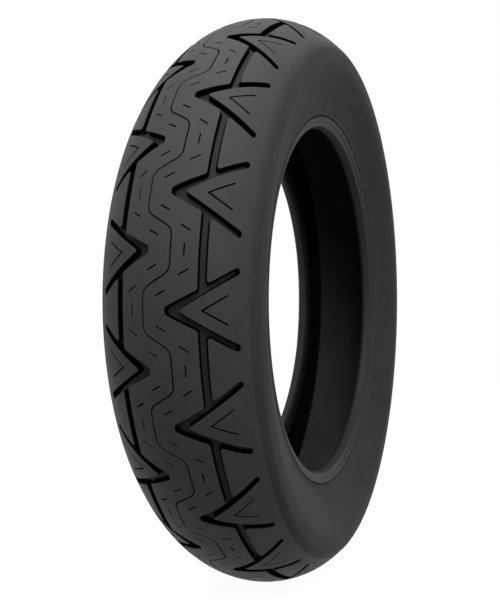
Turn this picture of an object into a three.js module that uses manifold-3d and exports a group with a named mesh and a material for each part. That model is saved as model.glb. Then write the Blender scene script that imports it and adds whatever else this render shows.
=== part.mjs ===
// A 150/80-16 class tubeless motorcycle tire with a bias-belted carcass, built up from the separate
// components that are laid on a building drum and cured together.
// Millimetres. The wheel spins about +Y, +Z is up, and the origin is the wheel centre.
// Every component is a ring, so each is drawn once as an outline in its meridian plane
// (x = distance along the axle, y = distance from the axle) and turned into a ring of flats.
// Bonded components lie one bond gap apart.
import * as THREE from "three";
import { mergeVertices } from "three/addons/utils/BufferGeometryUtils.js";
import Module from "manifold-3d";

// Overall sizes
const outerDiameter = 646;
const overallWidth = 153.4;
const rimSeatDiameter = 405.6;
const rimWidth = 106.8; // between the outer faces of the two beads
const crownRadius = 95; // of the tread, seen in cross-section
const treadHalfArc = 80; // from the centre line to the tread edge, along the surface
const rimLineHeight = 13.2; // of the rim line above the bead heel
const rimLineStandOff = 4.6; // of the rim line outside the bead face

// Gauges of the bonded components
const bondGap = 0.3;
const grooveDepth = 6.4;
const underGroove = 2.0; // cap rubber left under a groove
const baseGauge = 1.2;
const breakerGauge = 1.0;
const plyGauge = 0.7;
const linerGauge = 1.2;
const sidewallGauge = 4.2;
const chaferGauge = 0.6;
const wrapGauge = 0.4;
const beadRubber = 1.1; // toe and heel rubber outside the chafer

// Bead
const coreWidth = 4.6; // of the steel wire bundle
const coreCorner = 0.9; // chamfer of the bundle
const beadTightness = 1.6; // how much smaller than the rim seat the heel is, on the radius
const beadTaper = THREE.MathUtils.degToRad(5);
const heelChamfer = 1.4;
const beadFaceTop = 8.2; // height of the flat bead face above the heel
const innerLegTop = 6; // where the plies leave the core, above its centre
const turnUpLean = THREE.MathUtils.degToRad(30);
const outerPlyTurnUp = 6; // how far each ply runs up past the core on the outside
const innerPlyTurnUp = 12;
const chaferTurnUp = 8;
const fillerHeight = 22; // of the apex strip above the core centre
const legRun = 28; // of the plies from the bead up to where the sidewall's bulge starts

// Sidewall
const shoulderDrop = 6.5; // of the widest stretch's top below the tread edge
const widestFlat = 20; // height of the widest stretch
const carcassShoulderDrop = 11.9; // the same two sizes of the carcass behind it
const carcassWidestFlat = 12;
const plyLean = THREE.MathUtils.degToRad(42); // of the plies where they reach the bead
const rimLineLean = THREE.MathUtils.degToRad(24); // of the sidewall above the rim line

// Tread pattern: chevron grooves on each side, staggered, joined by a channel
const pitchCount = 20;
const patternTurn = THREE.MathUtils.degToRad(-1.6);
const armSlope = 0.62; // rise of a chevron arm along the tread for each unit across it
const armWidth = 7.3; // measured along the tread
const armStart = 9; // from the centre line, along the surface
const armEnd = 71;
const chevronPoint = 14; // where the two arms of a chevron meet
const channelCentre = 39.9;
const channelWidth = 7.7;
const channelSteps = 2;
const cutterClearance = 6; // how far a groove cutter stands out of the tread

// Facets
const flatCount = 24; // flats round each ring, one of them on each of +Z, -Z, +X and -X
const crownFlats = 2; // flats from the centre line to the tread edge

// ---------------------------------------------------------------- derived sizes
const outerRadius = outerDiameter / 2;
const crownCentre = outerRadius - crownRadius;
const treadAngle = treadHalfArc / crownRadius;
const crownStep = treadAngle / crownFlats;
const flatAngle = (2 * Math.PI) / flatCount;
const halfWidth = overallWidth / 2;
const capBottom = grooveDepth + underGroove;
const baseTop = capBottom + bondGap;
const baseBottom = baseTop + baseGauge;
const outerBreakerTop = baseBottom + bondGap;
const outerBreakerBottom = outerBreakerTop + breakerGauge;
const innerBreakerTop = outerBreakerBottom + bondGap;
const innerBreakerBottom = innerBreakerTop + breakerGauge;
const carcassDepth = innerBreakerBottom + bondGap; // of the outer ply's outer face under the tread

const innerPlyTop = plyGauge + bondGap; // depths below the outer ply's outer face
const innerPlyBottom = innerPlyTop + plyGauge;
const coverTop = innerPlyBottom + bondGap; // of the liner and of the chafer
const cushionTop = coverTop + chaferGauge + bondGap;

const beadFace = rimWidth / 2;
const heelRadius = rimSeatDiameter / 2 - beadTightness;
const coreHalf = coreWidth / 2;
const wrapInside = coreHalf + bondGap;
const plyInside = wrapInside + wrapGauge + bondGap;
const coreA = beadFace - beadRubber - cushionTop - plyInside;
const toeA = coreA - plyInside - cushionTop - beadRubber;
const toeRadius = heelRadius - (beadFace - heelChamfer - toeA) * Math.tan(beadTaper);
const coreR = heelRadius + beadRubber + cushionTop + plyInside;
const rimLine = new THREE.Vector2(beadFace + rimLineStandOff, heelRadius + rimLineHeight);

// ---------------------------------------------------------------- meridian outlines
const point = (a, r) => new THREE.Vector2(a, r);
const lean = (angle, length) => point(Math.sin(angle) * length, Math.cos(angle) * length);
const mirrored = (points) => points.map((p) => point(-p.x, p.y)).reverse();

// A point of the faceted crown at an angle from the centre line. Its flats touch the true arc.
function crownPoint(angle, depth) {
  const flat = THREE.MathUtils.clamp(Math.round(angle / crownStep), -crownFlats, crownFlats);
  const reach = (crownRadius - depth) / Math.cos(angle - flat * crownStep);
  return point(reach * Math.sin(angle), crownCentre + reach * Math.cos(angle));
}

// The corners of the crown between two angles, both ends included.
function crownRun(from, to, depth) {
  const corners = [];
  for (let k = -crownFlats; k < crownFlats; k++) {
    const corner = (k + 0.5) * crownStep;
    if (corner > from + 1e-6 && corner < to - 1e-6) corners.push(corner);
  }
  return [from, ...corners, to].map((angle) => crownPoint(angle, depth));
}

// Moves an open line sideways by a depth, to the right of its direction, with mitred corners.
function offsetLine(points, depth) {
  return points.map((p, i) => {
    const before = points[Math.max(i - 1, 0)];
    const after = points[Math.min(i + 1, points.length - 1)];
    const into = p.clone().sub(before).normalize();
    const out = after.clone().sub(p).normalize();
    if (i === 0) into.copy(out);
    if (i === points.length - 1) out.copy(into);
    const middle = into.clone().add(out).normalize();
    const reach = depth / middle.dot(into);
    return point(p.x + middle.y * reach, p.y - middle.x * reach);
  });
}

const strip = (line, top, bottom) => [
  ...offsetLine(line, top),
  ...offsetLine(line, bottom).reverse(),
];

// The carcass line is the outer ply's outer face: over the crown, down the side, round the core
// and up again outside it. These are its corners on the +Y side.
const carcassHalfWidth = halfWidth - sidewallGauge - bondGap;
const carcassEdge = crownPoint(treadAngle, carcassDepth);
const carcassShoulder = point(carcassHalfWidth, carcassEdge.y - carcassShoulderDrop);
const carcassWaist = point(carcassHalfWidth, carcassShoulder.y - carcassWidestFlat);
const innerLeg = point(coreA - plyInside, coreR + innerLegTop);
const carcassFlank = innerLeg.clone().add(lean(plyLean, legRun));
const carcassCrown = crownRun(-treadAngle, treadAngle, carcassDepth).slice(1, -1);
const carcassSide = [carcassEdge, carcassShoulder, carcassWaist, carcassFlank, innerLeg];
const coreTurn = [
  point(coreA - plyInside, coreR - plyInside),
  point(coreA + plyInside, coreR - plyInside),
  point(coreA + plyInside, coreR + plyInside),
];
const turnUp = (length) => coreTurn[2].clone().add(lean(turnUpLean, length));

// A ply from one bead's turn-up to the other's.
function plyLine(turnUpLength) {
  const side = [...carcassSide, ...coreTurn, turnUp(turnUpLength)];
  return [...mirrored(side), ...carcassCrown, ...side];
}

const linerEnd = point(coreA - plyInside, coreR + plyInside + bondGap);
const linerSide = [...carcassSide, linerEnd];
const linerLine = [...mirrored(linerSide), ...carcassCrown, ...linerSide];
const chaferLine = [point(coreA - plyInside, coreR + plyInside), ...coreTurn, turnUp(chaferTurnUp)];
const wrapLine = [
  point(coreA - wrapInside, coreR + coreHalf),
  point(coreA - wrapInside, coreR - wrapInside),
  point(coreA + wrapInside, coreR - wrapInside),
  point(coreA + wrapInside, coreR + coreHalf),
];

// A crown component lies between two depths and two angles, with square edges.
const crownBand = (from, to, top, bottom) => [
  ...crownRun(from, to, top),
  ...crownRun(from, to, bottom).reverse(),
];

const coreOutline = () => {
  const corner = coreHalf - coreCorner;
  const outline = [];
  for (const [sideA, sideR] of [[1, 1], [1, -1], [-1, -1], [-1, 1]]) {
    const near = point(coreA + sideA * corner, coreR + sideR * coreHalf);
    const far = point(coreA + sideA * coreHalf, coreR + sideR * corner);
    outline.push(...(sideA * sideR > 0 ? [near, far] : [far, near]));
  }
  return outline;
};

// The apex strip stands on the core, between the plies and their turn-ups.
function fillerOutline() {
  const foot = coreR + coreHalf + bondGap;
  const outside = offsetLine([coreTurn[1], coreTurn[2], turnUp(innerPlyTurnUp)], -bondGap);
  const inside = offsetLine([carcassFlank, innerLeg, coreTurn[0]], -bondGap);
  const share = (inside[0].y - coreR - fillerHeight) / (inside[0].y - inside[1].y);
  const tip = inside[0].clone().lerp(inside[1], share);
  return [point(inside[2].x, foot), inside[1], tip, outside[2], outside[1], point(outside[0].x, foot)];
}

// Sidewall rubber runs from the tread edge to the rim line, over the turn-ups.
function sidewallOutline() {
  const edgeTop = crownPoint(treadAngle, 0);
  const shoulder = point(halfWidth, edgeTop.y - shoulderDrop);
  const waist = point(halfWidth, shoulder.y - widestFlat);
  const lower = new THREE.CubicBezierCurve(
    waist,
    waist.clone().sub(point(0, 10)),
    rimLine.clone().add(lean(rimLineLean, 18)),
    rimLine,
  );
  const inside = offsetLine(carcassSide, -bondGap);
  const slide = point(Math.cos(treadAngle), -Math.sin(treadAngle)).multiplyScalar(bondGap);
  const start = crownPoint(treadAngle, carcassDepth - bondGap).add(slide);
  const cover = offsetLine([coreTurn[2], turnUp(innerPlyTurnUp + 1.5)], cushionTop);
  const seamShare = (rimLine.y + bondGap - cover[0].y) / (cover[1].y - cover[0].y);
  const seam = cover[0].clone().lerp(cover[1], seamShare);
  return [
    edgeTop.add(slide),
    shoulder,
    waist,
    lower.getPoint(0.45),
    point(rimLine.x, rimLine.y + bondGap),
    seam,
    cover[1],
    inside[3],
    inside[2],
    inside[1],
    start,
  ];
}

// The wedge fills the step between the breakers' edge and the tread edge.
const breakerEdge = 1.5 * crownStep;
const wedgeStart = breakerEdge + (2 * bondGap) / crownRadius;

// Toe, base, heel and flat face of the bead, up to the rim line.
function cushionOutline() {
  const faceTop = heelRadius + beadFaceTop;
  const insideLine = [
    point(coreA - plyInside, coreR + plyInside),
    ...coreTurn,
    turnUp(chaferTurnUp),
  ];
  const inside = offsetLine(insideLine, cushionTop);
  const share = (rimLine.y - inside[3].y) / (inside[4].y - inside[3].y);
  const seam = inside[3].clone().lerp(inside[4], share);
  return [
    rimLine,
    point(beadFace, faceTop),
    point(beadFace, heelRadius + heelChamfer),
    point(beadFace - heelChamfer, heelRadius),
    point(toeA, toeRadius),
    point(toeA, coreR + plyInside),
    inside[0],
    inside[1],
    inside[2],
    inside[3],
    seam,
  ];
}

// ---------------------------------------------------------------- solids
// Turns an outline into a ring of flats. Flats touch the true circles, so corners stand further out.
function ring(outline) {
  const area = THREE.ShapeUtils.area(outline);
  const ordered = area < 0 ? [...outline] : [...outline].reverse();
  const profile = [...ordered, ordered[0]].map((p) => point(p.y / Math.cos(flatAngle / 2), p.x));
  const turned = new THREE.LatheGeometry(profile, flatCount, flatAngle / 2);
  turned.deleteAttribute("normal");
  turned.deleteAttribute("uv");
  return mergeVertices(turned, 1e-4);
}

const wasm = await Module();
wasm.setup();

function solidOf(geometry) {
  const vertProperties = geometry.attributes.position.array;
  const triVerts = new Uint32Array(geometry.index.array);
  return new wasm.Manifold(new wasm.Mesh({ numProp: 3, vertProperties, triVerts }));
}

function geometryOf(solid) {
  const { vertProperties, triVerts } = solid.getMesh();
  const geometry = new THREE.BufferGeometry();
  geometry.setAttribute("position", new THREE.BufferAttribute(vertProperties, 3));
  return geometry.setIndex(new THREE.BufferAttribute(triVerts, 1));
}

// A place on the faceted tread: across it from the centre line, along it, and below its surface.
function onTread(across, along, depth) {
  const { x, y } = crownPoint(across / crownRadius, depth);
  const turn = along / outerRadius;
  const reach = y / Math.cos(turn - Math.round(turn / flatAngle) * flatAngle);
  return new THREE.Vector3(reach * Math.sin(turn), x, reach * Math.cos(turn));
}

// A bar laid on the tread through stations (across, along), with its ends cut along the tread.
function treadBar(stations, width) {
  const steps = stations.length - 1;
  const bar = new THREE.BoxGeometry(steps, 1, 1, steps, 1, 1);
  bar.deleteAttribute("normal");
  bar.deleteAttribute("uv");
  const merged = mergeVertices(bar, 1e-4);
  const { position } = merged.attributes;
  for (let i = 0; i < position.count; i++) {
    const { across, along } = stations[Math.round(position.getX(i) + steps / 2)];
    const depth = position.getZ(i) > 0 ? -cutterClearance : grooveDepth;
    const { x, y, z } = onTread(
      across + position.getY(i) * width.across,
      along + position.getY(i) * width.along,
      depth,
    );
    position.setXYZ(i, x, y, z);
  }
  const solid = solidOf(merged);
  if (solid.volume() > 0) return solid;
  for (let i = 0; i < merged.index.count; i += 3) {
    const first = merged.index.getX(i);
    merged.index.setX(i, merged.index.getX(i + 1));
    merged.index.setX(i + 1, first);
  }
  return solidOf(merged);
}

// One arm of a chevron, stepped at the corners of the crown so that its floor follows them.
function chevronArm(side, centre, direction) {
  const corner = (crownStep / 2) * crownRadius;
  const stops = [armStart, corner, 3 * corner, armEnd].filter(
    (stop) => stop >= armStart && stop <= armEnd,
  );
  const stations = stops.map((stop) => ({
    across: side * stop,
    along: centre + direction * armSlope * (stop - chevronPoint),
  }));
  return treadBar(stations, { across: 0, along: armWidth });
}

// The channel from one chevron's arm to the next chevron's.
function channel(side, centre, pitch) {
  const reach = armSlope * (channelCentre - chevronPoint);
  const stations = [];
  for (let k = 0; k <= channelSteps; k++)
    stations.push({
      across: side * channelCentre,
      along: centre + THREE.MathUtils.lerp(reach, pitch - reach, k / channelSteps),
    });
  return treadBar(stations, { across: channelWidth, along: 0 });
}

function groovedCap() {
  let cap = solidOf(ring(crownBand(-treadAngle, treadAngle, 0, capBottom)));
  const pitch = (2 * Math.PI * outerRadius) / pitchCount;
  const front = (patternTurn - Math.PI / 2) * outerRadius;
  for (let k = 0; k < pitchCount; k++)
    for (const side of [-1, 1]) {
      const centre = front + (k + (side > 0 ? 0.5 : 0)) * pitch;
      cap = cap.subtract(chevronArm(side, centre, 1));
      cap = cap.subtract(chevronArm(side, centre, -1));
      cap = cap.subtract(channel(side, centre, pitch));
    }
  return geometryOf(cap);
}

// ---------------------------------------------------------------- materials
const rubber = (color, roughness) =>
  new THREE.MeshStandardMaterial({ color, roughness, metalness: 0 });
const finishes = {
  treadRubber: rubber(0x2b2b2c, 0.62),
  baseRubber: rubber(0x232324, 0.7),
  sidewallRubber: rubber(0x262627, 0.55),
  linerRubber: rubber(0x19191a, 0.6),
  beadRubber: rubber(0x2a2a2b, 0.5),
  fillerRubber: rubber(0x1d1d1e, 0.7),
  nylonCord: rubber(0x8a7a5c, 0.85),
  aramidCord: rubber(0xb59a4a, 0.8),
  chaferFabric: rubber(0x3a3935, 0.85),
  wrapFabric: rubber(0x5a564c, 0.9),
  beadWire: new THREE.MeshStandardMaterial({ color: 0xa87850, roughness: 0.35, metalness: 1 }),
};

// ---------------------------------------------------------------- the tire
const tire = new THREE.Group();

function addPiece(name, geometry, finish) {
  const mesh = new THREE.Mesh(geometry, finishes[finish]);
  mesh.name = name;
  tire.add(mesh);
}

function addPair(name, outline, finish) {
  addPiece(`${name}_left`, ring(outline), finish);
  addPiece(`${name}_right`, ring(mirrored(outline)), finish);
}

const fullTread = [-treadAngle, treadAngle];
const breakerRun = [-breakerEdge, breakerEdge];
addPiece("tread_cap", groovedCap(), "treadRubber");
addPiece("tread_base", ring(crownBand(...fullTread, baseTop, baseBottom)), "baseRubber");
addPiece(
  "breaker_outer",
  ring(crownBand(...breakerRun, outerBreakerTop, outerBreakerBottom)),
  "aramidCord",
);
addPiece(
  "breaker_inner",
  ring(crownBand(...breakerRun, innerBreakerTop, innerBreakerBottom)),
  "aramidCord",
);
addPair(
  "shoulder_wedge",
  crownBand(wedgeStart, treadAngle, outerBreakerTop, innerBreakerBottom),
  "baseRubber",
);
addPiece("carcass_ply_outer", ring(strip(plyLine(outerPlyTurnUp), 0, plyGauge)), "nylonCord");
addPiece(
  "carcass_ply_inner",
  ring(strip(plyLine(innerPlyTurnUp), innerPlyTop, innerPlyBottom)),
  "nylonCord",
);
addPiece("inner_liner", ring(strip(linerLine, coverTop, coverTop + linerGauge)), "linerRubber");
addPair("sidewall", sidewallOutline(), "sidewallRubber");
addPair("bead_core", coreOutline(), "beadWire");
addPair("bead_wrap", strip(wrapLine, 0, wrapGauge), "wrapFabric");
addPair("bead_filler", fillerOutline(), "fillerRubber");
addPair("chafer", strip(chaferLine, coverTop, coverTop + chaferGauge), "chaferFabric");
addPair("rim_cushion", cushionOutline(), "beadRubber");

export default tire;
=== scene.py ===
"""A tubeless motorcycle tire with a chevron tread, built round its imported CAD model.

Metres. The wheel spins about +Y, +Z is up and the origin is the wheel centre. The right side is -Y.
Every component is a ring: its outline lies in the meridian plane as (a, r), where a is the distance
along the axle from the centre line and r the distance from the axle, and is turned about the axle.
"""

import math

import bmesh
import bpy
from mathutils import Matrix, Vector


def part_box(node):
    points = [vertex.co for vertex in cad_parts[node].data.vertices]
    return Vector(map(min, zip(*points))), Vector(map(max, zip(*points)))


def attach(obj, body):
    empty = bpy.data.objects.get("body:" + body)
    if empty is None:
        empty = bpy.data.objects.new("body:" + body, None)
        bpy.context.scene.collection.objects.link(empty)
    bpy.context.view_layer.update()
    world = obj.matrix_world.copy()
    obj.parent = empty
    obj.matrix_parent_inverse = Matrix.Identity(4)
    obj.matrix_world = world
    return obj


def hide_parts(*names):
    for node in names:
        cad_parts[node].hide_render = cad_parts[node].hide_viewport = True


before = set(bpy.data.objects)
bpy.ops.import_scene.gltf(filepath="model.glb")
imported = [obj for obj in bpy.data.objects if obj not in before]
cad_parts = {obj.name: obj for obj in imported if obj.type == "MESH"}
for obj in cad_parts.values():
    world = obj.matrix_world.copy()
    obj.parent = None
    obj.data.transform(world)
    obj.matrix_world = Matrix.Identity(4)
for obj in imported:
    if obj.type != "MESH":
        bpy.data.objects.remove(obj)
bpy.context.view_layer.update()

MM = 0.001

# ---------------------------------------------------------------- sizes
OUTER_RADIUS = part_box("tread_cap")[1][2]
HALF_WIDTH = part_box("sidewall_left")[1][1]
CROWN_RADIUS = 95 * MM
CROWN_CENTRE = OUTER_RADIUS - CROWN_RADIUS
TREAD_HALF_ARC = 80 * MM
TREAD_ANGLE = TREAD_HALF_ARC / CROWN_RADIUS
RING_STEPS = 360
HIDDEN_STEPS = 120
SHARP_ANGLE = math.radians(32)

# Depths of the components under the tread surface
CAP_DEPTH = 8.4 * MM
BOND_GAP = 0.3 * MM
BASE_GAUGE = 1.2 * MM
BREAKER_GAUGE = 1.0 * MM
PLY_GAUGE = 0.7 * MM
LINER_GAUGE = 1.2 * MM
CHAFER_GAUGE = 0.6 * MM
WRAP_GAUGE = 0.4 * MM
BASE_TOP = CAP_DEPTH + BOND_GAP
OUTER_BREAKER_TOP = BASE_TOP + BASE_GAUGE + BOND_GAP
INNER_BREAKER_TOP = OUTER_BREAKER_TOP + BREAKER_GAUGE + BOND_GAP
CARCASS_TOP = INNER_BREAKER_TOP + BREAKER_GAUGE + BOND_GAP
INNER_PLY_TOP = PLY_GAUGE + BOND_GAP
COVER_TOP = INNER_PLY_TOP + PLY_GAUGE + BOND_GAP
CUSHION_TOP = COVER_TOP + CHAFER_GAUGE + BOND_GAP

# Bead
BEAD_FACE = 53.4 * MM
HEEL_RADIUS = 201.2 * MM
BEAD_RUBBER = 1.1 * MM
CORE_HALF = 2.3 * MM
WRAP_INSIDE = CORE_HALF + BOND_GAP
PLY_INSIDE = WRAP_INSIDE + WRAP_GAUGE + BOND_GAP
CORE_A = BEAD_FACE - BEAD_RUBBER - CUSHION_TOP - PLY_INSIDE
CORE_R = HEEL_RADIUS + BEAD_RUBBER + CUSHION_TOP + PLY_INSIDE
TURN_UP_LEAN = math.radians(30)
OUTER_TURN_UP = 6 * MM
INNER_TURN_UP = 12 * MM
CHAFER_TURN_UP = 8 * MM
FILLER_HEIGHT = 22 * MM
WIRE_RADIUS = 0.5 * MM
WIRES_ACROSS = 4
WRAP_BEND = 0.7 * MM
BREAKER_ANGLE = 0.75 * TREAD_ANGLE

# Tread pattern. Across is measured along the tread from its centre line, along is round the tire.
PITCH_COUNT = 20
PITCH = 2 * math.pi * OUTER_RADIUS / PITCH_COUNT
PATTERN_TURN = math.radians(-1.6)
GROOVE_DEPTH = 6.4 * MM
ARM_SLOPE = 0.62
ARM_END = 71 * MM
ARM_HALF = 3.65 * MM
ARM_END_ROUND = 2.5 * MM
CHEVRON_POINT = 14 * MM
CHEVRON_CROTCH_ROUND = 1.6 * MM
NOSE_HALF = 3.1 * MM
NOSE_ROUND = 3.6 * MM
CHANNEL_CENTRE = 39.9 * MM
CHANNEL_HALF = 3.85 * MM
CHANNEL_INNER_ROUND = 3 * MM
CHANNEL_OUTER_ROUND = 2 * MM
SIPE_HALF = 0.65 * MM
SIPE_DEPTH = 4.0 * MM
SIPE_END_ROUND = 0.4 * MM
ISLAND_APEX = 39.9 * MM
ISLAND_END = 61.2 * MM
ISLAND_SLOPE = 0.6
ISLAND_HALF = 0.85 * MM
ISLAND_NOSE_ROUND = 0.5 * MM
ISLAND_END_ROUND = 0.3 * MM
ZIGZAG_REACH = 12.3 * MM
ZIGZAG_STRAIGHT = 17.9 * MM
ZIGZAG_BEND = 11 * MM
# Slits: across from the centre line, along from the chevron or the gap, slope, length
CENTRE_SLIT = (4.2 * MM, 14.7 * MM, 0.55, 9.6 * MM)
CHANNEL_SLIT = (24 * MM, 18.7 * MM, -0.6, 10 * MM)
STRAIGHT_SLIT_LENGTH = 10.6 * MM

# How finely the flat tread is cut before it is wrapped
SLICE_ACROSS = 5.0 * MM
SLICES_ALONG = 15
CUT_MARGIN = 10 * MM


# ---------------------------------------------------------------- outlines
def point(a, r):
    return Vector((a, r))


def place(a, r):
    """A point of an outline given in millimetres."""
    return Vector((a, r)) * MM


def lean(angle, length):
    return point(math.sin(angle), math.cos(angle)) * length


def crown(angle, depth):
    """A point of the tread's arc at an angle from the centre line, or of an arc below it."""
    reach = CROWN_RADIUS - depth
    return point(reach * math.sin(angle), CROWN_CENTRE + reach * math.cos(angle))


def crown_arc(start, end, depth, steps):
    return [crown(start + (end - start) * i / steps, depth) for i in range(steps + 1)]


def bezier(start, out, into, end, steps):
    """A curve from start to end that leaves towards out and arrives from into."""
    line = []
    for i in range(steps + 1):
        t = i / steps
        u = 1 - t
        line.append(start * u**3 + out * (3 * u * u * t) + into * (3 * u * t * t) + end * t**3)
    return line


def fillet(before, corner, after, radius, steps):
    """The arc that rounds a corner between two straight stretches."""
    back = (before - corner).normalized()
    on = (after - corner).normalized()
    half = back.angle(on) / 2
    centre = corner + (back + on).normalized() * (radius / math.sin(half))
    start = corner + back * (radius / math.tan(half)) - centre
    end = corner + on * (radius / math.tan(half)) - centre
    turn = math.atan2(start.x * end.y - start.y * end.x, start.dot(end))
    arc = []
    for i in range(steps + 1):
        c, s = math.cos(turn * i / steps), math.sin(turn * i / steps)
        arc.append(centre + point(start.x * c - start.y * s, start.x * s + start.y * c))
    return arc


def rounded(corners, closed=True, steps=5):
    """A line through corners (x, y, fillet radius)."""
    places = [point(x, y) for x, y, _ in corners]
    line = []
    for i, (_, _, radius) in enumerate(corners):
        inner = closed or 0 < i < len(corners) - 1
        if radius and inner:
            after = places[(i + 1) % len(places)]
            line += fillet(places[i - 1], places[i], after, radius, steps)
        else:
            line.append(places[i])
    return line


def offset(line, depth, closed=False):
    """The line moved to the right of its direction, with mitred corners."""
    moved = []
    last = len(line) - 1
    for i, here in enumerate(line):
        into = here - line[i - 1] if closed or i else line[1] - here
        out = line[(i + 1) % len(line)] - here if closed or i < last else here - line[i - 1]
        into = into.normalized()
        out = out.normalized()
        middle = (into + out).normalized()
        reach = depth / middle.dot(into)
        moved.append(point(here.x + middle.y * reach, here.y - middle.x * reach))
    return moved


def strip(line, top, bottom):
    """The band between two depths under a line."""
    return offset(line, top) + offset(line, bottom)[::-1]


def mirrored(outline):
    """The same outline on the right side."""
    return [point(-p.x, p.y) for p in outline][::-1]


def crown_band(start, end, top, bottom, steps):
    """A crown component between two angles and two depths."""
    return crown_arc(start, end, top, steps) + crown_arc(start, end, bottom, steps)[::-1]


def circle(centre, radius, steps):
    turns = [2 * math.pi * i / steps for i in range(steps)]
    return [centre + lean(turn, radius) for turn in turns]


# ---------------------------------------------------------------- carcass line
# The outer ply's outer face: over the crown, down the side, round the bead core and up outside it.
INNER_LEG_TOP = 6 * MM
LEG_RUN = 28 * MM
PLY_LEAN = math.radians(42)
INNER_LEG = point(CORE_A - PLY_INSIDE, CORE_R + INNER_LEG_TOP)
LEG_TOP = INNER_LEG + lean(PLY_LEAN, LEG_RUN)
CARCASS_WAIST = point(HALF_WIDTH - 4.5 * MM, 265 * MM)
WAIST_PULL_UP = 8 * MM
WAIST_PULL_DOWN = 14 * MM
CARCASS_END_PULL = 8 * MM
CORE_TURN = [
    point(CORE_A - PLY_INSIDE, CORE_R - PLY_INSIDE),
    point(CORE_A + PLY_INSIDE, CORE_R - PLY_INSIDE),
    point(CORE_A + PLY_INSIDE, CORE_R + PLY_INSIDE),
]
LEG_BEND = 8 * MM
CORE_BEND = 1.2 * MM
INSIDE_BEAD = 211.8 * MM
ALONG_EDGE = point(math.cos(TREAD_ANGLE), -math.sin(TREAD_ANGLE))


def turn_up(length):
    return CORE_TURN[2] + lean(TURN_UP_LEAN, length)


def carcass_side():
    """From just past the crown's edge down to the bead, on the left."""
    edge = crown(TREAD_ANGLE, CARCASS_TOP)
    bulge = bezier(edge, edge + ALONG_EDGE * CARCASS_END_PULL,
                   CARCASS_WAIST + point(0, WAIST_PULL_UP), CARCASS_WAIST, 10)
    flank = bezier(CARCASS_WAIST, CARCASS_WAIST - point(0, WAIST_PULL_DOWN),
                   LEG_TOP + lean(PLY_LEAN, CARCASS_END_PULL), LEG_TOP, 12)
    bend = fillet(LEG_TOP, INNER_LEG, CORE_TURN[0], LEG_BEND, 6)
    return bulge[1:] + flank[1:] + bend


def core_bends():
    """Round the underside of the bead core."""
    under, outside, top = CORE_TURN
    return fillet(INNER_LEG, under, outside, CORE_BEND, 4) + fillet(under, outside, top, CORE_BEND, 4)


def bead_line():
    """The plies' face from inside the bead, round the core and up outside it."""
    return [point(INNER_LEG.x, INSIDE_BEAD), *core_bends(), CORE_TURN[2], turn_up(CHAFER_TURN_UP)]


def across(side):
    """The whole line from one bead to the other, from its left half past the crown."""
    return mirrored(side) + crown_arc(-TREAD_ANGLE, TREAD_ANGLE, CARCASS_TOP, 36) + side


def ply_line(length):
    return across(carcass_side() + core_bends() + [CORE_TURN[2], turn_up(length)])


# ---------------------------------------------------------------- meshes
def in_scene(name, data):
    """A new object, linked to the scene."""
    thing = bpy.data.objects.new(name, data)
    bpy.context.scene.collection.objects.link(thing)
    return thing


def ring(bm, places):
    """A closed ring of edges through places."""
    corners = [bm.verts.new(where) for where in places]
    return [bm.edges.new((corners[i - 1], corners[i])) for i in range(len(corners))]


def bridged(bm, rings):
    """A solid through rings of edges, one after the other, closed at both ends."""
    for upper, lower in zip(rings, rings[1:]):
        bmesh.ops.bridge_loops(bm, edges=upper + lower)
    for end in (rings[0], rings[-1]):
        bmesh.ops.contextual_create(bm, geom=end)


def finished(name, bm, slot):
    """A mesh turned into a piece of the tire: closed, facing out, smooth between its hard edges."""
    bmesh.ops.remove_doubles(bm, verts=bm.verts, dist=1e-6)
    bmesh.ops.recalc_face_normals(bm, faces=bm.faces)
    mesh = bpy.data.meshes.new(name)
    bm.to_mesh(mesh)
    bm.free()
    mesh.shade_smooth()
    mesh.set_sharp_from_angle(angle=SHARP_ANGLE)
    piece = in_scene(name, mesh)
    mesh.materials.append(MATERIALS[slot])
    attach(piece, "root")
    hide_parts(name)
    return piece


def spun(bm, outline, steps):
    """Turns one closed outline about the axle."""
    corners = [bm.verts.new((0, p.x, p.y)) for p in outline]
    sides = [bm.edges.new((corners[i - 1], corners[i])) for i in range(len(corners))]
    bmesh.ops.spin(bm, geom=corners + sides, cent=(0, 0, 0), axis=(0, 1, 0), dvec=(0, 0, 0),
                   angle=2 * math.pi, steps=steps, use_merge=True)


def turned(name, outlines, slot, steps=HIDDEN_STEPS, extra=None):
    bm = bmesh.new()
    for outline in outlines:
        spun(bm, outline, steps)
    if extra:
        extra(bm)
    return finished(name, bm, slot)


def turned_pair(name, outlines, slot, steps=HIDDEN_STEPS, extra=None):
    turned(f"{name}_left", outlines, slot, steps, extra and extra(1))
    turned(f"{name}_right", [mirrored(o) for o in outlines], slot, steps, extra and extra(-1))


# ---------------------------------------------------------------- tread
def counter_clockwise(outline):
    area = sum(a.x * b.y - b.x * a.y for a, b in zip(outline, outline[1:] + outline[:1]))
    return outline if area > 0 else outline[::-1]


def cutter(bm, outline, levels):
    """A groove's shape, from its outline at each level (height, spread)."""
    outline = counter_clockwise(outline)
    rings = []
    for height, spread in levels:
        level = offset(outline, spread, closed=True)
        rings.append(ring(bm, [(p.x, p.y, height) for p in level]))
    bridged(bm, rings)


def groove_levels(depth, mouth, draft, floor):
    """A rounded mouth, slightly leaning walls and a rounded floor."""
    levels = [(mouth, mouth * 1.4), (0, mouth * 0.8), (-mouth * 0.35, mouth * 0.28), (-mouth, 0)]
    for i in range(4):
        turn = math.pi / 2 * i / 3
        spread = -draft - floor * (1 - math.cos(turn))
        levels.append((-depth + floor * (1 - math.sin(turn)), spread))
    return levels


GROOVE_LEVELS = groove_levels(GROOVE_DEPTH, 0.4 * MM, 1.1 * MM, 0.9 * MM)
SIPE_LEVELS = [(0.3 * MM, 0.2 * MM), (0, 0.12 * MM), (-0.15 * MM, 0), (-SIPE_DEPTH, -0.08 * MM)]


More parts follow.
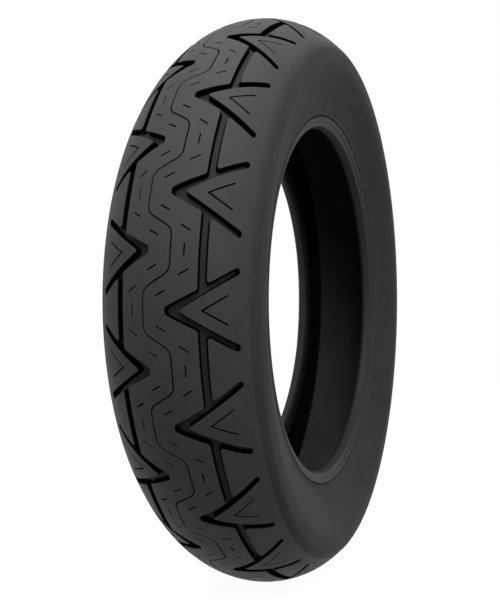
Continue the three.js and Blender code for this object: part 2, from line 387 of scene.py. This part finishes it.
def chevron_chain(side, centres):
    """One side's chevrons and the channels between them, as a single outline."""
    inner = CHANNEL_CENTRE - CHANNEL_HALF
    outer = CHANNEL_CENTRE + CHANNEL_HALF
    half = ARM_HALF / ARM_SLOPE

    def rise(distance, edge):
        return ARM_SLOPE * (distance - CHEVRON_POINT) + edge * ARM_HALF

    up = []
    down = []
    for centre in centres:
        up += [
            (inner, centre - rise(inner, 1), CHANNEL_INNER_ROUND),
            (CHEVRON_POINT - half, centre - NOSE_HALF, NOSE_ROUND),
            (CHEVRON_POINT - half, centre + NOSE_HALF, NOSE_ROUND),
            (inner, centre + rise(inner, 1), CHANNEL_INNER_ROUND),
        ]
        down += [
            (outer, centre - rise(outer, 1), CHANNEL_OUTER_ROUND),
            (ARM_END, centre - rise(ARM_END, 1), ARM_END_ROUND),
            (ARM_END, centre - rise(ARM_END, -1), ARM_END_ROUND),
            (CHEVRON_POINT + half, centre, CHEVRON_CROTCH_ROUND),
            (ARM_END, centre + rise(ARM_END, -1), ARM_END_ROUND),
            (ARM_END, centre + rise(ARM_END, 1), ARM_END_ROUND),
            (outer, centre + rise(outer, 1), CHANNEL_OUTER_ROUND),
        ]
    low = centres[0] - PITCH / 2
    high = centres[-1] + PITCH / 2
    corners = [(inner, low, 0), *up, (inner, high, 0), (outer, high, 0), *down[::-1], (outer, low, 0)]
    return rounded([(side * x, y, radius) for x, y, radius in corners])


def thin_chevron(side, centre):
    """The fine V on the land between a chevron's arms."""
    half = ISLAND_HALF / ISLAND_SLOPE
    rise = ISLAND_SLOPE * (ISLAND_END - ISLAND_APEX)
    corners = [
        (ISLAND_APEX - half, centre, ISLAND_NOSE_ROUND),
        (ISLAND_END, centre + rise + ISLAND_HALF, ISLAND_END_ROUND),
        (ISLAND_END, centre + rise - ISLAND_HALF, ISLAND_END_ROUND),
        (ISLAND_APEX + half, centre, 0),
        (ISLAND_END, centre - rise + ISLAND_HALF, ISLAND_END_ROUND),
        (ISLAND_END, centre - rise - ISLAND_HALF, ISLAND_END_ROUND),
    ]
    return rounded([(side * x, y, radius) for x, y, radius in corners], steps=3)


def zigzag():
    """The fine line that winds along the centre of the tread."""
    turns = []
    for k in (-1, 0, 1):
        for side, centre in ((-1, k * PITCH), (1, (k + 0.5) * PITCH)):
            turns.append((side * ZIGZAG_REACH, centre - ZIGZAG_STRAIGHT, ZIGZAG_BEND))
            turns.append((side * ZIGZAG_REACH, centre + ZIGZAG_STRAIGHT, ZIGZAG_BEND))
    return strip(rounded(turns, closed=False, steps=6), -SIPE_HALF, SIPE_HALF)


def slit(middle, direction, length):
    """A short fine cut with rounded corners."""
    reach = direction.normalized() * (length / 2)
    aside = direction.orthogonal().normalized() * SIPE_HALF
    corners = [middle + reach + aside, middle + reach - aside, middle - reach - aside, middle - reach + aside]
    return rounded([(p.x, p.y, SIPE_END_ROUND) for p in corners], steps=3)


def slits(side, centre):
    """The slits that belong to one chevron and to the gap beside it."""
    gap = centre + PITCH / 2
    cuts = []
    for way in (-1, 1):
        for middle, (aside, along, slope, length) in ((centre, CENTRE_SLIT), (gap, CHANNEL_SLIT)):
            at = point(side * aside, middle + way * along)
            cuts.append(slit(at, point(side, way * slope), length))
    cuts.append(slit(point(side * CHANNEL_SLIT[0], gap), point(0, 1), STRAIGHT_SLIT_LENGTH))
    return cuts


def cut_slab(slab, cutters):
    """The slab with the grooves taken out of it, as a new bmesh."""
    objects = []
    for name, bm in (("tread_slab", slab), ("groove_cutters", cutters)):
        bmesh.ops.recalc_face_normals(bm, faces=bm.faces)
        mesh = bpy.data.meshes.new(name)
        bm.to_mesh(mesh)
        bm.free()
        objects.append(in_scene(name, mesh))
    cut = objects[0].modifiers.new("grooves", "BOOLEAN")
    cut.operation = "DIFFERENCE"
    cut.solver = "EXACT"
    cut.object = objects[1]
    evaluated = objects[0].evaluated_get(bpy.context.evaluated_depsgraph_get())
    bm = bmesh.new()
    bm.from_mesh(evaluated.to_mesh())
    evaluated.to_mesh_clear()
    for leftover in objects:
        mesh = leftover.data
        bpy.data.objects.remove(leftover)
        bpy.data.meshes.remove(mesh)
    return bm


def slice_at(bm, where, normal, clear=False):
    """Cuts the mesh along a plane. Clear takes away what lies beyond it."""
    geom = bm.verts[:] + bm.edges[:] + bm.faces[:]
    bmesh.ops.bisect_plane(bm, geom=geom, dist=1e-7, plane_co=where, plane_no=normal, clear_outer=clear)


def flat_pitch():
    """One pitch of the tread laid flat: x across, y along and z out of the surface."""
    slab = bmesh.new()
    bmesh.ops.create_cube(slab, size=1)
    size = Vector((2 * TREAD_HALF_ARC, PITCH + 2 * CUT_MARGIN, CAP_DEPTH))
    bmesh.ops.scale(slab, vec=size, verts=slab.verts)
    bmesh.ops.translate(slab, vec=(0, 0, -CAP_DEPTH / 2), verts=slab.verts)
    cutters = bmesh.new()
    for side, centres in ((1, (-PITCH, 0, PITCH)), (-1, (-PITCH / 2, PITCH / 2))):
        cutter(cutters, chevron_chain(side, centres), GROOVE_LEVELS)
        for centre in centres:
            cutter(cutters, thin_chevron(side, centre), SIPE_LEVELS)
            for outline in slits(side, centre):
                cutter(cutters, outline, SIPE_LEVELS)
    cutter(cutters, zigzag(), SIPE_LEVELS)
    bm = cut_slab(slab, cutters)
    slice_at(bm, (0, PITCH / 2, 0), (0, 1, 0), clear=True)
    slice_at(bm, (0, -PITCH / 2, 0), (0, -1, 0), clear=True)
    for k in range(1, SLICES_ALONG):
        slice_at(bm, (0, PITCH * (k / SLICES_ALONG - 0.5), 0), (0, 1, 0))
    for k in range(1, round(2 * TREAD_HALF_ARC / SLICE_ACROSS)):
        slice_at(bm, (k * SLICE_ACROSS - TREAD_HALF_ARC, 0, 0), (1, 0, 0))
    return bm


def on_tire(flat):
    """Where a point of the flat tread lies once the tread is wrapped round the tire."""
    reach = CROWN_RADIUS + flat.z
    angle = flat.x / CROWN_RADIUS
    radius = CROWN_CENTRE + reach * math.cos(angle)
    turn = flat.y / OUTER_RADIUS + PATTERN_TURN
    return Vector((-radius * math.cos(turn), -reach * math.sin(angle), radius * math.sin(turn)))


def tread_cap():
    pitch = flat_pitch()
    mesh = bpy.data.meshes.new("tread_pitch")
    pitch.to_mesh(mesh)
    pitch.free()
    bm = bmesh.new()
    for k in range(PITCH_COUNT):
        done = len(bm.verts)
        bm.from_mesh(mesh)
        bm.verts.ensure_lookup_table()
        bmesh.ops.translate(bm, vec=(0, k * PITCH, 0), verts=bm.verts[done:])
    bpy.data.meshes.remove(mesh)
    for vertex in bm.verts:
        vertex.co = on_tire(vertex.co)
    piece = finished("tread_cap", bm, "tread_rubber")
    even = piece.modifiers.new("even_shading", "WEIGHTED_NORMAL")
    even.keep_sharp = True
    return piece


# ---------------------------------------------------------------- outer rubber
SEAM_STEP = 0.05 * MM
# Across from the tread edge and out from its surface, in millimetres
SIDE_RIDGE = ((0, 0), (0.8, 0.08), (1.8, 0.2), (2.8, 0.26), (3.8, 0.22), (5, 0.06), (6.4, -0.2))
WIDEST = place(HALF_WIDTH / MM, 271.5)
RIDGE_PULL = 2.5 * MM
WIDEST_PULL_UP = 8 * MM
WIDEST_PULL_DOWN = 11 * MM
FLANK_FOOT = place(57.5, 217.4)
FLANK_LEAN = math.radians(17)
FLANK_PULL = 21 * MM
# Outlines (a, r) in millimetres
RIM_LINE = ((57.6, 216.5), (57.9, 215.7), (58, 215.1), (57.85, 214.55))
CUSHION_FACE = (
    # the crease under the rim line
    (57.8, 214.45), (57.3, 214.15), (56.3, 213.9), (55.2, 213.65), (54.9, 213.35), (55.2, 213.0),
    # the band under it, and the bead face
    (56.0, 212.7), (56.6, 212.2), (56.8, 211.5), (56.65, 210.4), (56.15, 209.2), (55.4, 208.0),
    (54.5, 206.8), (53.65, 205.9), (53.4, 205.1), (53.4, 203.9), (53.2, 203.1),
    # the heel and the lip
    (52.7, 202.35), (52.0, 201.75), (51.2, 201.5), (50.4, 201.4), (49.28, 201.05), (48.16, 200.5),
    (47, 200.15), (46, 200.05), (45.1, 200.3), (44.5, 200.8), (44, 201.45), (43.3, 201.85),
    # the toe
    (42.64, 201.95), (41.85, 202.29), (41.33, 202.7), (40.85, 203.25), (40.3, 203.9), (39.89, 204.7),
    (39.6, 205.6), (39.5, 206.5), (39.45, 208.5), (39.4, 211.8),
)
SEAM_RADIUS = 214.5 * MM


def side_face():
    """The left sidewall's outside, from the tread edge over a soft ridge and the bulge to the rim line."""
    edge = crown(TREAD_ANGLE, 0) + ALONG_EDGE * SEAM_STEP
    ridge = [edge + ALONG_EDGE * go * MM + lean(TREAD_ANGLE, rise * MM) for go, rise in SIDE_RIDGE]
    past = ridge[-1]
    shoulder = bezier(past, past + ALONG_EDGE * RIDGE_PULL, WIDEST + point(0, WIDEST_PULL_UP), WIDEST, 14)
    flank = bezier(WIDEST, WIDEST - point(0, WIDEST_PULL_DOWN),
                   FLANK_FOOT + lean(FLANK_LEAN, FLANK_PULL), FLANK_FOOT, 24)
    return ridge + shoulder[1:] + flank[1:] + [place(a, r) for a, r in RIM_LINE]


def sidewall_outline():
    """Left sidewall: its outside, the seam on the rim cushion and the face on the plies."""
    cover = offset([CORE_TURN[2], turn_up(INNER_TURN_UP + 1.5 * MM)], CUSHION_TOP)
    seam = cover[0].lerp(cover[1], (SEAM_RADIUS + SEAM_STEP - cover[0].y) / (cover[1].y - cover[0].y))
    inner_face = [crown(TREAD_ANGLE, CARCASS_TOP - BOND_GAP)] + offset(carcass_side(), -BOND_GAP)
    backing = [p for p in inner_face if p.y > LEG_TOP.y]
    backing[0] += ALONG_EDGE * SEAM_STEP
    return side_face() + [seam, cover[1]] + backing[::-1]


def cushion_outline():
    """Left rim cushion: its outside and the face on the chafer."""
    inside = offset(bead_line(), CUSHION_TOP)
    share = (SEAM_RADIUS - inside[-2].y) / (inside[-1].y - inside[-2].y)
    seam = inside[-2].lerp(inside[-1], share)
    return [place(a, r) for a, r in CUSHION_FACE] + inside[:-1] + [seam]


MOULD_TURNS = (math.radians(79), math.radians(-79))
MOULD_HALF = 0.4 * MM
MOULD_HEIGHT = 0.28 * MM
MOULD_ROOT = 0.5 * MM
MOULD_FROM = 219 * MM
MOULD_TO = 258 * MM


def mould_lines(side):
    """Thin raised lines left by the mould across a sidewall."""
    face = [p for p in side_face() if MOULD_FROM < p.y < MOULD_TO]

    def add(bm):
        for turn in MOULD_TURNS:
            rings = []
            for low, high in zip(offset(face, MOULD_ROOT), offset(face, -MOULD_HEIGHT)):
                shape = ((low, 1), (high, 0.5), (high, -0.5), (low, -1))
                rings.append(ring(bm, [(-p.y, side * p.x, half * MOULD_HALF) for p, half in shape]))
            bridged(bm, rings)
            corners = {v for edges in rings for e in edges for v in e.verts}
            bmesh.ops.rotate(bm, verts=list(corners), cent=(0, 0, 0), matrix=Matrix.Rotation(turn, 3, "Y"))

    return add


SPLICE_TURN = math.radians(-38)
SPLICE_SLANT = math.radians(1.6)
SPLICE_HALF_TURN = 0.0022
SPLICE_REACH = 0.93 * TREAD_ANGLE
SPLICE_ROOT = 0.4 * MM
SPLICE_HEIGHT = 0.8 * MM


def liner_splice(bm):
    """The raised step where the two ends of the liner overlap, slanted a little across the crown."""
    line = offset(crown_arc(-SPLICE_REACH, SPLICE_REACH, CARCASS_TOP, 30), COVER_TOP + LINER_GAUGE)
    rings = []
    for low, high in zip(offset(line, -SPLICE_ROOT), offset(line, SPLICE_HEIGHT)):
        places = []
        for p, half in ((low, 1), (high, 0.6), (high, -0.6), (low, -1)):
            turn = SPLICE_TURN + low.x / HALF_WIDTH * SPLICE_SLANT + half * SPLICE_HALF_TURN
            places.append((p.y * math.cos(turn), p.x, p.y * math.sin(turn)))
        rings.append(ring(bm, places))
    bridged(bm, rings)


# ---------------------------------------------------------------- inside components
def filler_outline():
    """Left apex strip, standing on the core between the plies and their turn-ups."""
    foot = CORE_R + CORE_HALF + BOND_GAP
    inside = [p for p in offset(carcass_side(), -BOND_GAP) if foot < p.y < CORE_R + FILLER_HEIGHT]
    outside = offset([CORE_TURN[2], turn_up(INNER_TURN_UP)], -BOND_GAP)
    return inside + [point(inside[-1].x, foot), point(outside[0].x, foot), *outside]


def chafer_outline():
    return strip(bead_line(), COVER_TOP, COVER_TOP + CHAFER_GAUGE)


def wrap_outline():
    """Left wrap, under the core and up both its sides."""
    left = CORE_A - WRAP_INSIDE
    right = CORE_A + WRAP_INSIDE
    foot = CORE_R - WRAP_INSIDE
    top = CORE_R + CORE_HALF
    corners = [(left, top, 0), (left, foot, WRAP_BEND), (right, foot, WRAP_BEND), (right, top, 0)]
    return strip(rounded(corners, closed=False, steps=4), 0, WRAP_GAUGE)


def wire_outlines():
    """The bead core's wires, laid side by side in rows."""
    pitch = 2 * CORE_HALF / WIRES_ACROSS
    places = [(i + 0.5) * pitch - CORE_HALF for i in range(WIRES_ACROSS)]
    return [circle(point(CORE_A + a, CORE_R + r), WIRE_RADIUS, 8) for a in places for r in places]


def build_tire():
    """Every piece, from the tread inwards and down to the beads."""
    tread_cap()
    base = crown_band(-TREAD_ANGLE, TREAD_ANGLE, BASE_TOP, BASE_TOP + BASE_GAUGE, 40)
    turned("tread_base", [base], "base_rubber")
    for name, top in (("breaker_outer", OUTER_BREAKER_TOP), ("breaker_inner", INNER_BREAKER_TOP)):
        breaker = crown_band(-BREAKER_ANGLE, BREAKER_ANGLE, top, top + BREAKER_GAUGE, 30)
        turned(name, [breaker], "aramid_cord")
    beside_breakers = BREAKER_ANGLE + 2 * BOND_GAP / CROWN_RADIUS
    wedge = crown_band(beside_breakers, TREAD_ANGLE, OUTER_BREAKER_TOP, INNER_BREAKER_TOP + BREAKER_GAUGE, 8)
    turned_pair("shoulder_wedge", [wedge], "base_rubber")
    turned("carcass_ply_outer", [strip(ply_line(OUTER_TURN_UP), 0, PLY_GAUGE)], "nylon_cord")
    inner_ply = strip(ply_line(INNER_TURN_UP), INNER_PLY_TOP, INNER_PLY_TOP + PLY_GAUGE)
    turned("carcass_ply_inner", [inner_ply], "nylon_cord")
    liner_end = INSIDE_BEAD + BOND_GAP
    liner_side = [p for p in carcass_side() if p.y > liner_end + BOND_GAP]
    liner_line = across(liner_side + [point(INNER_LEG.x, liner_end)])
    liner = strip(liner_line, COVER_TOP, COVER_TOP + LINER_GAUGE)
    turned("inner_liner", [liner], "liner_rubber", steps=RING_STEPS, extra=liner_splice)
    turned_pair("sidewall", [sidewall_outline()], "sidewall_rubber", steps=RING_STEPS, extra=mould_lines)
    turned_pair("rim_cushion", [cushion_outline()], "bead_rubber", steps=RING_STEPS)
    turned_pair("bead_core", wire_outlines(), "bead_wire")
    turned_pair("bead_wrap", [wrap_outline()], "wrap_fabric")
    turned_pair("bead_filler", [filler_outline()], "filler_rubber")
    turned_pair("chafer", [chafer_outline()], "chafer_fabric")


# ---------------------------------------------------------------- finishes
class Finish:
    """A material whose nodes are added one after another."""

    def __init__(self, name):
        self.material = bpy.data.materials.new(name)
        self.material.use_nodes = True
        self.tree = self.material.node_tree
        self.shader = self.tree.nodes["Principled BSDF"]
        self.place = self.add("ShaderNodeTexCoord").outputs["Object"]

    def add(self, kind, values=None, **settings):
        node = self.tree.nodes.new(kind)
        for key, value in settings.items():
            setattr(node, key, value)
        for socket, value in (values or {}).items():
            if isinstance(value, bpy.types.NodeSocket):
                self.tree.links.new(value, node.inputs[socket])
            else:
                node.inputs[socket].default_value = value
        return node

    def noise(self, scale, detail=4, roughness=0.55, place_on=None):
        values = {"Vector": place_on or self.place, "Scale": scale, "Detail": detail, "Roughness": roughness}
        return self.add("ShaderNodeTexNoise", values).outputs["Fac"]

    def spread(self, value, low, high, start=0.3, end=0.7):
        """The value's middle range stretched to run from low to high."""
        values = {"Value": value, "From Min": start, "From Max": end, "To Min": low, "To Max": high}
        return self.add("ShaderNodeMapRange", values).outputs["Result"]

    def blend(self, share, first, second):
        node = self.add("ShaderNodeMix", {"Factor": share}, data_type="RGBA")
        node.inputs["A"].default_value = (*first, 1)
        node.inputs["B"].default_value = (*second, 1)
        return node.outputs["Result"]

    def bump(self, height, distance, strength=1.0, under=None):
        values = {"Height": height, "Distance": distance, "Strength": strength}
        if under:
            values["Normal"] = under
        return self.add("ShaderNodeBump", values).outputs["Normal"]

    def connect(self, socket, value):
        self.tree.links.new(value, self.shader.inputs[socket])


def shade(colour, factor):
    return tuple(c * factor for c in colour)


def depth_in_tread(finish):
    """How far a place lies under the tread's surface."""
    parts = finish.add("ShaderNodeSeparateXYZ", {"Vector": finish.place}).outputs
    flat = finish.add("ShaderNodeCombineXYZ", {"X": parts["X"], "Z": parts["Z"]}).outputs[0]
    radius = finish.add("ShaderNodeVectorMath", {0: flat}, operation="LENGTH").outputs["Value"]
    above = finish.add("ShaderNodeMath", {0: radius, 1: CROWN_CENTRE}, operation="SUBTRACT").outputs[0]
    section = finish.add("ShaderNodeCombineXYZ", {"X": parts["Y"], "Y": above}).outputs[0]
    reach = finish.add("ShaderNodeVectorMath", {0: section}, operation="LENGTH").outputs["Value"]
    return finish.add("ShaderNodeMath", {0: CROWN_RADIUS, 1: reach}, operation="SUBTRACT").outputs[0]


# How dark the painted shade makes the groove walls, the groove floors, the liner's sides and the toe's inward
# side
WALL_PAINTED_SHADE = 0.04
GROOVE_FLOOR_PAINTED_SHADE = 0.62
LINER_PAINTED_SHADE = 0.08
TOE_PAINTED_SHADE = 0.35


def groove_painted_shade(finish):
    """Painted shade: 1 on the lands, dark down the groove walls and part of the way back on the groove
    floors, where shade falls inside the grooves.
    """
    depth = depth_in_tread(finish)
    wall = finish.spread(depth, 1, WALL_PAINTED_SHADE, 0.25 * MM, 0.6 * MM)
    floor = finish.spread(depth, 0, GROOVE_FLOOR_PAINTED_SHADE, GROOVE_DEPTH - 0.5 * MM, GROOVE_DEPTH - 0.15 * MM)
    return finish.add("ShaderNodeMath", {0: wall, 1: floor}, operation="MAXIMUM").outputs[0]


def off_centre(finish):
    """How far a place lies from the tire's middle plane."""
    across = finish.add("ShaderNodeSeparateXYZ", {"Vector": finish.place}).outputs["Y"]
    return finish.add("ShaderNodeMath", {0: across}, operation="ABSOLUTE").outputs[0]


def liner_painted_shade(finish):
    """Painted shade: the liner is darkened beyond the crown, where its sides lie in shade inside the tire."""
    return finish.spread(off_centre(finish), 1, LINER_PAINTED_SHADE, 46.2 * MM, 47.8 * MM)


def toe_painted_shade(finish):
    """Painted shade: the toe's inward-facing side is darkened, as if it lay in shade like the liner."""
    return finish.spread(off_centre(finish), TOE_PAINTED_SHADE, 1, 43 * MM, 44.4 * MM)


def rubber(name, colour, roughness, gloss, grain, bloom, painted_shade_of=None):
    """Moulded rubber: cloudy patches, a fine grain and an uneven sheen, with painted shade in the colour and
    the gloss where a shade mask is given.
    """
    finish = Finish(name)
    cloud = finish.noise(9, detail=5)
    patches = finish.noise(46, detail=6, roughness=0.65)
    fine = finish.noise(1900, detail=3, roughness=0.6)
    mixed = finish.add("ShaderNodeMath", {0: cloud, 1: patches}, operation="MULTIPLY").outputs[0]
    tint = finish.spread(mixed, 0, 1, 0.14, 0.36)
    surface = finish.blend(tint, shade(colour, 1 - bloom), shade(colour, 1 + bloom))
    finish.shader.inputs["Specular IOR Level"].default_value = gloss
    # Painted shade: the mask darkens the colour and lowers the gloss with it
    if painted_shade_of:
        painted_shade = painted_shade_of(finish)
        painted_shade_colour = finish.add("ShaderNodeVectorMath", {0: surface, "Scale": painted_shade}, operation="SCALE")
        surface = painted_shade_colour.outputs[0]
        sheen = finish.add("ShaderNodeMath", {0: painted_shade, 1: gloss}, operation="MULTIPLY").outputs[0]
        finish.connect("Specular IOR Level", sheen)
    finish.connect("Base Color", surface)
    finish.connect("Roughness", finish.spread(patches, roughness - 0.05, roughness + 0.06))
    low = finish.bump(patches, 0.12 * MM, 0.5)
    finish.connect("Normal", finish.bump(fine, grain, 0.6, under=low))
    return finish.material


def cords(name, colour, gap_colour, scale, slant):
    """Rubber-coated cord fabric: parallel cords at a slant round the tire."""
    finish = Finish(name)
    turned_place = finish.add("ShaderNodeMapping", {"Vector": finish.place, "Rotation": (slant, 0, slant)})
    wave = finish.add("ShaderNodeTexWave", {"Vector": turned_place.outputs[0], "Scale": scale,
                                            "Distortion": 0.6, "Detail": 2}, bands_direction="Y")
    lines = wave.outputs["Fac"]
    finish.connect("Base Color", finish.blend(lines, gap_colour, colour))
    finish.connect("Roughness", finish.spread(finish.noise(240), 0.72, 0.9))
    finish.connect("Normal", finish.bump(lines, 0.3 * MM, 0.8))
    return finish.material


def woven(name, colour, gap_colour, scale):
    """Square-woven fabric: two sets of threads over and under each other."""
    finish = Finish(name)
    threads = []
    for direction in ("Y", "DIAGONAL"):
        wave = finish.add("ShaderNodeTexWave", {"Vector": finish.place, "Scale": scale, "Distortion": 0.4},
                          bands_direction=direction)
        threads.append(wave.outputs["Fac"])
    weave = finish.add("ShaderNodeMath", {0: threads[0], 1: threads[1]}, operation="MULTIPLY").outputs[0]
    finish.connect("Base Color", finish.blend(weave, gap_colour, colour))
    finish.connect("Roughness", finish.spread(finish.noise(300), 0.78, 0.92))
    finish.connect("Normal", finish.bump(weave, 0.2 * MM, 0.8))
    return finish.material


def bronzed_wire(name, colour, dark):
    """Drawn steel wire with a thin bronze coat, worn in streaks."""
    finish = Finish(name)
    stretched = finish.add("ShaderNodeMapping", {"Vector": finish.place, "Scale": (1, 12, 1)}).outputs[0]
    streaks = finish.noise(180, detail=5, roughness=0.7, place_on=stretched)
    finish.connect("Base Color", finish.blend(finish.spread(streaks, 0, 1), dark, colour))
    finish.connect("Roughness", finish.spread(streaks, 0.42, 0.26))
    finish.connect("Normal", finish.bump(streaks, 0.05 * MM, 0.5))
    finish.shader.inputs["Metallic"].default_value = 1.0
    return finish.material


# Colour, roughness, gloss, height of the grain, strength of the patches, and the painted shade that darkens
# it
RUBBERS = {
    "tread_rubber": ((0.052, 0.052, 0.053), 0.6, 0.14, 0.05 * MM, 0.12, groove_painted_shade),
    "base_rubber": ((0.017, 0.017, 0.018), 0.7, 0.2, 0.06 * MM, 0.12),
    "sidewall_rubber": ((0.053, 0.053, 0.054), 0.6, 0.055, 0.03 * MM, 0.09),
    "liner_rubber": ((0.046, 0.046, 0.0465), 0.7, 0.05, 0.04 * MM, 0.12, liner_painted_shade),
    "bead_rubber": ((0.026, 0.026, 0.027), 0.52, 0.18, 0.03 * MM, 0.08, toe_painted_shade),
    "filler_rubber": ((0.013, 0.013, 0.0135), 0.7, 0.2, 0.05 * MM, 0.12),
}
MATERIALS = {name: rubber(name, *values) for name, values in RUBBERS.items()}
MATERIALS |= {
    "nylon_cord": cords("nylon_cord", (0.25, 0.19, 0.1), (0.04, 0.03, 0.02), 220, math.radians(30)),
    "aramid_cord": cords("aramid_cord", (0.46, 0.32, 0.07), (0.06, 0.045, 0.02), 200, math.radians(22)),
    "chafer_fabric": woven("chafer_fabric", (0.042, 0.041, 0.036), (0.012, 0.012, 0.011), 320),
    "wrap_fabric": woven("wrap_fabric", (0.1, 0.09, 0.07), (0.03, 0.028, 0.022), 380),
    "bead_wire": bronzed_wire("bead_wire", (0.45, 0.28, 0.16), (0.2, 0.12, 0.07)),
}


# ---------------------------------------------------------------- studio
CAMERA_TURN = math.radians(22.49)
CAMERA_DISTANCE = 0.9146
CAMERA_ASIDE = 0.0457
LENS = 45.13
WORLD_FILL = 0.2
FLOOR_HALF = 30
FLOOR_COLOUR = (0.2, 0.2, 0.2, 1)
FLOOR_GLOW = 0.96
WHITE = (1, 1, 1, 1)


def camera():
    towards = Vector((-math.cos(CAMERA_TURN), -math.sin(CAMERA_TURN), 0))
    right = Vector((math.sin(CAMERA_TURN), -math.cos(CAMERA_TURN), 0))
    data = bpy.data.cameras.new("camera")
    data.lens = LENS
    eye = in_scene("camera", data)
    turn = Matrix((right, (0, 0, 1), towards)).transposed().to_4x4()
    eye.matrix_world = Matrix.Translation(towards * CAMERA_DISTANCE - right * CAMERA_ASIDE) @ turn
    bpy.context.scene.camera = eye


def lamp(name, at, power, size):
    """A round soft lamp that faces the wheel centre."""
    data = bpy.data.lights.new(name, "AREA")
    data.energy = power
    data.shape = "DISK"
    data.size = size
    light = in_scene(name, data)
    light.location = at
    light.rotation_euler = (-Vector(at)).to_track_quat("-Z", "Y").to_euler()


def seen_ray(tree):
    """1 on a ray from the camera, a mirror or glass, and 0 on light that falls on things."""
    path = tree.nodes.new("ShaderNodeLightPath")
    kinds = ("Is Camera Ray", "Is Glossy Ray", "Is Transmission Ray")
    total = path.outputs[kinds[0]]
    for kind in kinds[1:]:
        either = tree.nodes.new("ShaderNodeMath")
        either.operation = "MAXIMUM"
        tree.links.new(total, either.inputs[0])
        tree.links.new(path.outputs[kind], either.inputs[1])
        total = either.outputs[0]
    return total


def studio():
    """White surroundings that light the tire only a little, and the floor."""
    world = bpy.data.worlds.new("studio")
    bpy.context.scene.world = world
    world.use_nodes = True
    tree = world.node_tree
    background = tree.nodes["Background"]
    strength = tree.nodes.new("ShaderNodeMapRange")
    strength.inputs["To Min"].default_value = WORLD_FILL
    tree.links.new(seen_ray(tree), strength.inputs["Value"])
    tree.links.new(strength.outputs["Result"], background.inputs["Strength"])
    background.inputs["Color"].default_value = WHITE

    bm = bmesh.new()
    bmesh.ops.create_grid(bm, x_segments=1, y_segments=1, size=FLOOR_HALF)
    bmesh.ops.translate(bm, vec=(0, 0, -OUTER_RADIUS), verts=bm.verts)
    mesh = bpy.data.meshes.new("floor")
    bm.to_mesh(mesh)
    bm.free()
    floor = in_scene("floor", mesh)
    mesh.materials.append(floor_finish())


def floor_finish():
    """Pale matt paint. What the camera sees is lifted to white and still keeps the shadow."""
    material = bpy.data.materials.new("floor")
    material.use_nodes = True
    tree = material.node_tree
    shader = tree.nodes["Principled BSDF"]
    shader.inputs["Base Color"].default_value = FLOOR_COLOUR
    shader.inputs["Roughness"].default_value = 0.9
    shader.inputs["Specular IOR Level"].default_value = 0.0
    shader.inputs["Emission Color"].default_value = WHITE
    glow = tree.nodes.new("ShaderNodeMath")
    glow.operation = "MULTIPLY"
    glow.inputs[1].default_value = FLOOR_GLOW
    tree.links.new(seen_ray(tree), glow.inputs[0])
    tree.links.new(glow.outputs[0], shader.inputs["Emission Strength"])
    return material


camera()
studio()
lamp("overhead", (-0.6, 0, 1.5), 19, 1.6)
lamp("front", (-1.4, -1.0, 1.2), 17, 1.4)
build_tire()
bpy.context.scene.view_settings.view_transform = "Standard"
